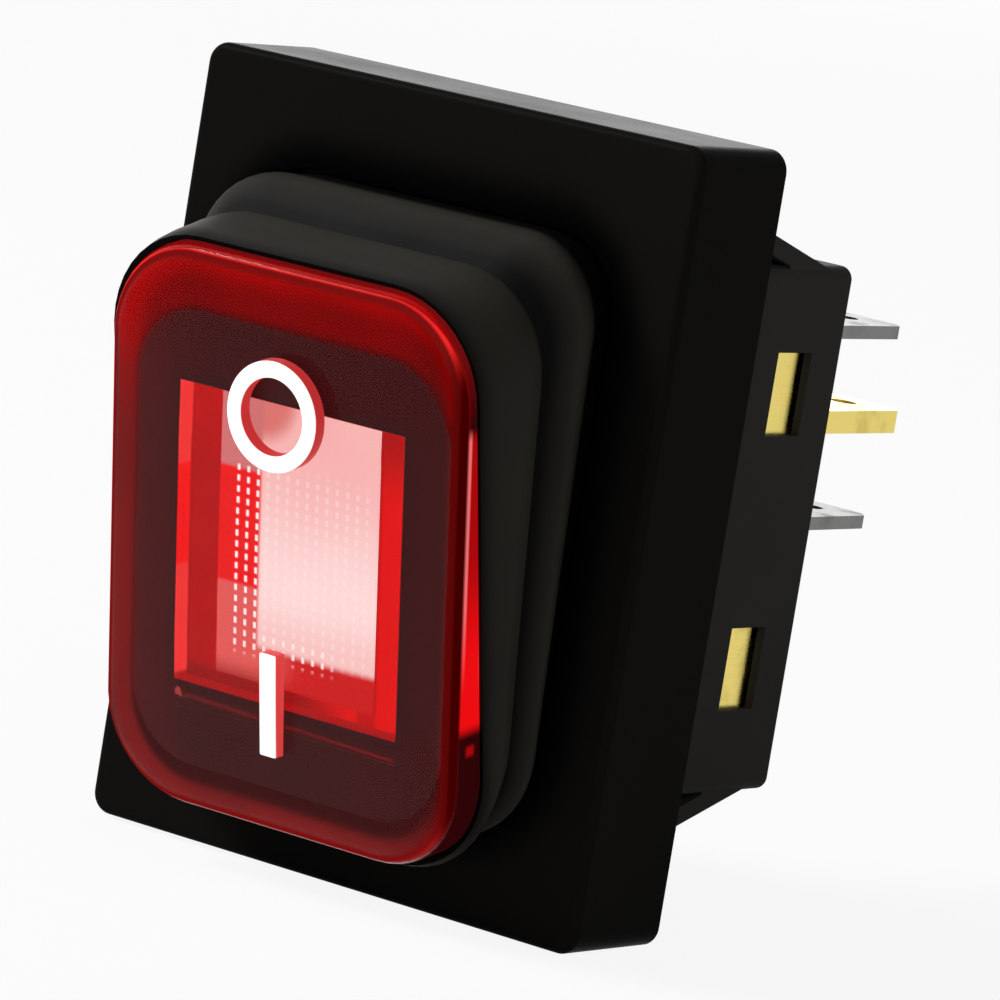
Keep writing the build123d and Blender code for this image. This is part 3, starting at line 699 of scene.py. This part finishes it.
def redBorder():
    paint = Finish("redBorder")
    place = paint.tiltedPlace()
    x, _, v = paint.axes(place)
    cloud = paint.grain(place, 5.0, 3.0)
    inward = inwardFrom(x, v, rocker["lensW"] / 2, rocker["lensH"] / 2, rocker["lensR"])
    # painted light and shade: the border glows lighter up top, darker on the right and lit near its outer
    # edge higher up, with darker patches at random
    tone = paint.mix(paint.rise(v, border["topV"]), lensLook["border"], lensLook["borderTop"])
    tone = paint.mix(paint.rise(x, border["darkX"]) * 0.7, tone, lensLook["borderDark"])
    outside = 1 - paint.soft(inward, *border["litIn"])
    tone = paint.mix(outside * paint.rise(v, border["litV"]), tone, lensLook["borderLit"])
    tone = paint.mix(cloud.maths("MAXIMUM", cloud - 0.45, 0.0), tone, lensLook["borderDark"])
    tone = paint.mix(filmShare(paint, x, v), tone, lit["mask"])
    return paint.done(paint.shader(Base_Color=lit["black"], Roughness=0.4 + (cloud - 0.5) * 0.1,
                                   Specular_IOR_Level=0.0, Emission_Color=tone, Emission_Strength=1.0))


def makeLens():
    halfW = rocker["lensW"] / 2
    halfH = rocker["lensH"] / 2
    radius = rocker["lensR"]
    edgeR = rocker["edgeR"]
    rings = []
    innerW = halfW - rocker["wall"]
    innerH = halfH - rocker["wall"]
    innerR = radius - rocker["wall"]
    back = -(rocker["lensFront"] - rocker["plate"])
    for share in (0.35, 0.7, 1.0):
        rings.append([(x * share, back, v * share) for x, v in outline(innerW, innerH, innerR)])
    rings.append([(x, -rocker["skirtBack"], v) for x, v in outline(innerW, innerH, innerR)])
    rings.append([(x, -rocker["skirtBack"], v) for x, v in outline(halfW, halfH, radius)])
    # the rounded edge follows the crown, then the front closes in towards the middle
    for i in range(rocker["edgeSteps"] + 1):
        a = math.radians(90 * i / rocker["edgeSteps"])
        inset = edgeR * (1 - math.cos(a))
        row = []
        for x, v in outline(halfW - inset, halfH - inset, radius - inset):
            row.append((x, crownFront(min(abs(v), halfH)) + edgeR * (1 - math.sin(a)), v))
        rings.append(row)
    face = outline(halfW - edgeR, halfH - edgeR, radius - edgeR)
    for share in (0.97, 0.9, 0.8, 0.65, 0.5, 0.35, 0.2, 0.08):
        rings.append([(x * share, crownFront(v * share), v * share) for x, v in face])
    lens = skin("redLensCap", rings, capFirst=True, capLast=True)
    lens.data.materials.append(redLens())
    smoothShade(lens, 40)
    throwPiece(lens)
    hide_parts("rocker_lens")
    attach(lens, "rocker")
    # the glowing border lies just inside the plastic, level with the film
    inset = border["inset"]
    front = back - border["front"]
    outer = [(x, front, v) for x, v in outline(halfW - inset, halfH - inset, radius - inset)]
    rim = [(x, front, v + border["v"]) for x, v in outline(border["w"] / 2, border["h"] / 2, innerR)]
    deepOuter, deepRim = [[(x, back - border["back"], v) for x, _, v in row] for row in (outer, rim)]
    ring = skin("redLensBorder", [deepOuter, outer, rim, deepRim], closed=True)
    ring.data.materials.append(redBorder())
    throwPiece(ring)
    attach(ring, "rocker")


# the two white marks let into the lens
marks = {
    "ringX": -0.5, "ringV": 7.05, "ringR": 2.76, "ringSteps": 96, "stroke": 0.82, "barX": -0.3,
    "barV": -7.68, "barW": 1.0, "barH": 5.35, "barR": 0.08, "depth": 1.35, "proud": 0.02, "soft": 0.06,
    "half": 0.3, "white": shown(255, 255, 255), "ringSide": shown(190, 30, 34),
    "barSide": shown(232, 62, 62), "plain": (0.8, 0.8, 0.8), "plainSide": (0.3, 0.03, 0.03),
    "middleV": (-2.0, 2.0), "faceSpan": (0.06, 0.12),
}


def whiteInlay():
    paint = Finish("whiteInlay")
    place = paint.tiltedPlace()
    _, y, v = paint.axes(place)
    fine = paint.grain(place, 0.3, 2.0)
    # only the face that lies level with the crowned lens is white
    face = y + rocker["lensFront"] * mm - v * v / (2 * crownR * mm)
    front = 1 - paint.rise(face, marks["faceSpan"])
    # painted light: the mark glows, white on its face and red on its sides as if lit by the lamp behind
    beside = paint.mix(paint.rise(v, marks["middleV"]), marks["barSide"], marks["ringSide"])
    tone = paint.mix(front, beside, marks["white"])
    tone = paint.mix(fine * 0.08, tone, marks["barSide"])
    return paint.done(paint.shader(Base_Color=paint.mix(front, marks["plainSide"], marks["plain"]),
                                   Roughness=0.4, Specular_IOR_Level=0.2, Emission_Color=tone,
                                   Emission_Strength=0.7, Normal=paint.bump(fine, 0.004, 0.3)))


def makeMarks(paint):
    soft = marks["soft"]
    half = soft * marks["half"]
    # up a side and over the softly rounded front: how far in, and how far behind the front
    turns = [(0, None), (0, soft), (half, half), (soft, 0.0)]

    def depth(v, behind):
        # the mark's foot lies level in the lens, and its front follows the crown
        if behind is None:
            return -(rocker["lensFront"] - marks["depth"])
        return crownFront(v) - marks["proud"] + behind

    def ringPoints(radius, behind):
        points = []
        for i in range(marks["ringSteps"]):
            a = 2 * math.pi * i / marks["ringSteps"]
            v = marks["ringV"] + radius * math.sin(a)
            points.append((marks["ringX"] + radius * math.cos(a), depth(v, behind), v))
        return points

    outer = marks["ringR"]
    inner = outer - marks["stroke"]
    rings = [ringPoints(outer - inset, behind) for inset, behind in turns]
    rings += [ringPoints(inner + inset, behind) for inset, behind in turns[::-1]]
    ring = skin("whiteRingMark", rings, closed=True)
    bar = []
    for inset, behind in turns:
        row = []
        for x, v in outline(marks["barW"] / 2 - inset, marks["barH"] / 2 - inset, marks["barR"], 4):
            row.append((x + marks["barX"], depth(v + marks["barV"], behind), v + marks["barV"]))
        bar.append(row)
    stroke = skin("whiteBarMark", bar, capFirst=True, capLast=True)
    for piece, node in ((ring, "off_mark"), (stroke, "on_mark")):
        piece.data.materials.append(paint)
        smoothShade(piece, 50)
        throwPiece(piece)
        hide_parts(node)
        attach(piece, "rocker")


makeLens()
makeMarks(whiteInlay())
print("switch: lens and marks")

# two soft tiers between the flange and the lens
boot = {
    "wall": 0.65, "flangeFront": -7.2, "footY": -6.2, "footBack": -5.05, "footOut": 0.8,
    "openingW": 20.9, "openingH": 28.6, "openingR": 3.0,
    "lipFront": 13.4, "lipBack": 12.8, "lipGap": 0.08, "lipOut": 0.53,
    "lipStep": 0.2, "lipInside": 0.1, "lipRise": 1.25, "lipShare": 0.7, "lipShade": 0.2, "riseFrom": -2.0,
    "riseTo": 9.0, "clear": 0.02, "outerSteps": 6, "innerSteps": 4,
    "tone": (0.0215, 0.0197, 0.0160), "dust": (0.0255, 0.0235, 0.0190),
    # share of the rocker's tilt, share of the lip's stand, wider, higher, rounder than the lens, how dark
    # its painted shade is
    "rings": [
        (0.0, 0.0, 0.20, 0.05, -0.7, 1.0),
        (0.12, 0.14, 0.45, 0.22, -0.5, 1.0),
        (0.20, 0.24, 0.86, 0.40, -0.4, 0.7),
        (0.27, 0.33, 1.06, 0.50, -0.35, 0.0),
        (0.33, 0.41, 0.98, 0.42, -0.4, 0.0),
        (0.40, 0.52, 0.50, 0.05, -0.6, 0.45),
        (0.47, 0.64, 0.05, -0.50, -0.85, 1.0),
        (0.53, 0.74, -0.20, -0.90, -0.95, 1.0),
        (0.55, 0.775, -0.05, -0.85, -0.7, 1.0),
        (0.57, 0.81, 0.35, -0.50, -0.2, 0.8),
        (0.61, 0.86, 0.62, -0.34, 0.2, 0.1),
        (0.66, 0.91, 0.76, -0.22, 0.35, 0.0),
        (0.74, 0.95, 0.82, -0.08, 0.4, 0.0),
        (0.86, 0.98, 0.80, 0.12, 0.4, 0.0),
    ],
}


def bootRow(share, standShare, wider, higher, rounder, paintedShade, inset):
    # one ring of the boot, in the plane that its share of the tilt gives
    lean = share * throwAngle
    lipStand = boot["lipBack"] * math.cos(throwAngle) - rocker["lensH"] / 2 * math.sin(throwAngle)
    stand = standShare * (lipStand + boot["flangeFront"])
    halfH = rocker["lensH"] / 2 + higher
    reach = (-boot["flangeFront"] + stand + halfH * math.sin(lean)) / math.cos(lean)
    halfW = rocker["lensW"] / 2 + wider
    return lean, reach, halfW - inset, halfH - inset, rocker["lensR"] + rounder - inset, 0.0, paintedShade


def leaning(lean, reach, halfW, halfH, radius, rise=0.0):
    # the lip rises towards the lens's upper end, where it reaches the rounded edge
    points = []
    for x, v in outline(halfW, halfH, radius):
        share = min(1.0, max(0.0, (v - boot["riseFrom"]) / (boot["riseTo"] - boot["riseFrom"])))
        far = reach + rise * share * share * (3 - 2 * share)
        across = -far * math.cos(lean) - v * math.sin(lean)
        points.append((x, across, -far * math.sin(lean) + v * math.cos(lean)))
    return points


def between(rows, steps):
    # a smooth curve through every number of the rows
    full = []
    for i in range(len(rows) - 1):
        before = rows[max(i - 1, 0)]
        after = rows[min(i + 2, len(rows) - 1)]
        for s in range(steps):
            t = s / steps
            row = []
            for p0, p1, p2, p3 in zip(before, rows[i], rows[i + 1], after):
                row.append(0.5 * (2 * p1 + (p2 - p0) * t + (2 * p0 - 5 * p1 + 4 * p2 - p3) * t * t
                                  + (3 * p1 - p0 - 3 * p2 + p3) * t ** 3))
            full.append(tuple(row))
    full.append(tuple(rows[-1]))
    return full


def makeBoot():
    lipOut = boot["lipOut"]
    halfW = rocker["lensW"] / 2
    halfH = rocker["lensH"] / 2
    lensR = rocker["lensR"]
    rise = boot["lipRise"]
    tip = boot["lipFront"]
    outer = [bootRow(*ring, 0) for ring in boot["rings"]]
    outer.append((throwAngle, boot["lipBack"], halfW + lipOut, halfH + lipOut, lensR + lipOut,
                  rise * boot["lipShare"], boot["lipShade"]))
    lipOut -= boot["lipStep"]
    outer.append((throwAngle, tip, halfW + lipOut, halfH + lipOut, lensR + lipOut, rise, 1.0))
    inner = [bootRow(*ring, boot["wall"]) for ring in boot["rings"]]
    gap = boot["lipGap"]
    inner.append((throwAngle, boot["lipBack"], halfW + gap, halfH + gap, lensR + gap, 0.0, 1.0))
    inner.append((throwAngle, tip - boot["lipInside"], halfW + gap, halfH + gap, lensR + gap, rise, 1.0))
    neck = outer[0][2:5]
    foot = tuple(size + boot["footOut"] for size in neck)
    hole = (boot["openingW"] / 2, boot["openingH"] / 2, boot["openingR"])
    rows = [(0, -boot["footBack"], *foot), (0, -boot["footY"], *foot), (0, -boot["footY"], *neck)]
    rows += between(outer, boot["outerSteps"])
    rows += between(inner, boot["innerSteps"])[::-1]
    rows += [(0, -boot["flangeFront"] - boot["clear"], *hole), (0, -boot["footBack"], *hole)]
    piece = skin("sealingBoot", [leaning(*row[:6]) for row in rows], closed=True)
    # painted shade in the folds, at the foot and under the lip, with its darkness going with the mesh
    fold = piece.data.attributes.new("fold", "FLOAT", "POINT")
    paintedShade = [min(1.0, max(0.0, row[6])) if len(row) > 6 else 1.0 for row in rows]
    each = len(piece.data.vertices) // len(rows)
    fold.data.foreach_set("value", [value for value in paintedShade for _ in range(each)])
    piece.data.materials.append(blackRubber("bootRubber", boot["tone"], boot["dust"], shadedFolds=True))
    smoothShade(piece, 50)
    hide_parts("sealing_boot")
    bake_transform(piece)


makeBoot()
print("switch: sealing boot")

# the pieces that keep their CAD shape
brass = rolledMetal("brass", (0.80, 0.64, 0.17), (0.64, 0.49, 0.12), 0.26)
silver = rolledMetal("silver", (0.195, 0.195, 0.192), (0.155, 0.155, 0.152), 0.30, 0.7)
springSteel = rolledMetal("springSteel", (0.55, 0.55, 0.56), (0.42, 0.41, 0.40), 0.22)
darkPlastic = plainMoulding("darkPlastic", (0.018, 0.018, 0.019), (0.028, 0.027, 0.026), 0.45)
palePlastic = plainMoulding("palePlastic", (0.62, 0.60, 0.54), (0.52, 0.49, 0.42), 0.42)
gasketRubber = blackRubber("gasketRubber", (0.012, 0.012, 0.012), (0.022, 0.021, 0.020))

finishes = {
    "housing": blackPlastic(), "panel_gasket": gasketRubber, "rocker_frame": darkPlastic,
    "rocker_mask": darkRedFilm(), "light_box": redTray(), "diffuser": milkyPanel(), "lamp": lampGlass(),
    "resistor": bandedResistor(),
}
for side in ("left", "right"):
    for name in ("load_terminal", "common_terminal", "fixed_contact", "moving_contact"):
        finishes[name + "_" + side] = silver
    for name in ("lamp_terminal", "contact_arm", "lamp_pad"):
        finishes[name + "_" + side] = brass
    for name in ("plunger_spring", "lamp_spring"):
        finishes[name + "_" + side] = springSteel
    finishes["plunger_" + side] = palePlastic

for name, finish in finishes.items():
    target = nodes[name].data.materials
    for i in range(max(1, len(target))):
        if target:
            target[i] = finish
        else:
            target.append(finish)
print("switch: finishes on", len(finishes), "CAD pieces")
